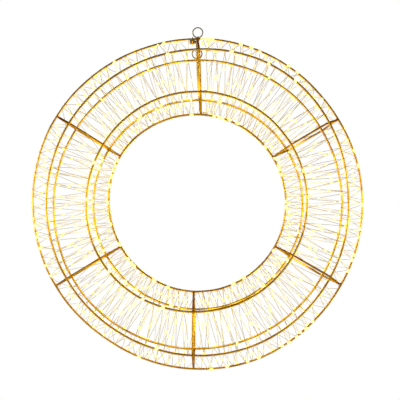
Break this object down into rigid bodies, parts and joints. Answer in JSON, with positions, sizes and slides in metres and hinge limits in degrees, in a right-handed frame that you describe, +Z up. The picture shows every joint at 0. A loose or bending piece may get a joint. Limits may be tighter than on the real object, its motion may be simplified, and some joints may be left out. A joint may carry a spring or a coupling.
{
  "type": "wreath frame",
  "caption": "Gold wire wreath frame: concentric rings welded over hexagonal wire ribs, wound with micro LED strings, with a wire eye at the top to hang it by.",
  "frame": {"origin": "the bearing point of a hook at the top of the hanging eye's hole, on the hole's middle", "axes": "+Z up as it hangs, +Y from the front to the wall behind, +X to the right as seen from the front"},
  "size_m": [0.4015, 0.0746, 0.4154],
  "materials": {
    "gold_wire": "glossy gold lacquer on drawn steel wire",
    "eye_wire": "dull nickel-plated steel wire",
    "string_wire": "clear-enamelled copper wire",
    "led_bead": "clear epoxy droplet over a warm white LED, lit",
    "string_cap": "satin heat-shrink tube",
    "junction_sleeve": "satin brown heat-shrink sleeve"
  },
  "bodies": {
    "root": {"outer_ring": "gold_wire", "front_outer_ring": "gold_wire", "front_inner_ring": "gold_wire", "inner_ring": "gold_wire", "back_inner_ring": "gold_wire", "back_outer_ring": "gold_wire", "rib_12_oclock": "gold_wire", "rib_2_oclock": "gold_wire", "rib_4_oclock": "gold_wire", "rib_6_oclock": "gold_wire", "rib_8_oclock": "gold_wire", "rib_10_oclock": "gold_wire", "hanging_eye": "eye_wire", "back_hanging_eye": "eye_wire", "front_outer_light_string": "string_wire", "front_light_string": "string_wire", "front_inner_light_string": "string_wire", "back_inner_light_string": "string_wire", "back_light_string": "string_wire", "back_outer_light_string": "string_wire", "front_outer_string_cap": "string_cap", "front_string_cap": "string_cap", "front_inner_string_cap": "string_cap", "back_inner_string_cap": "string_cap", "back_string_cap": "string_cap", "back_outer_string_cap": "string_cap", "junction_sleeve": "junction_sleeve", "junction_tie": "gold_wire"}
  },
  "joints": []
}
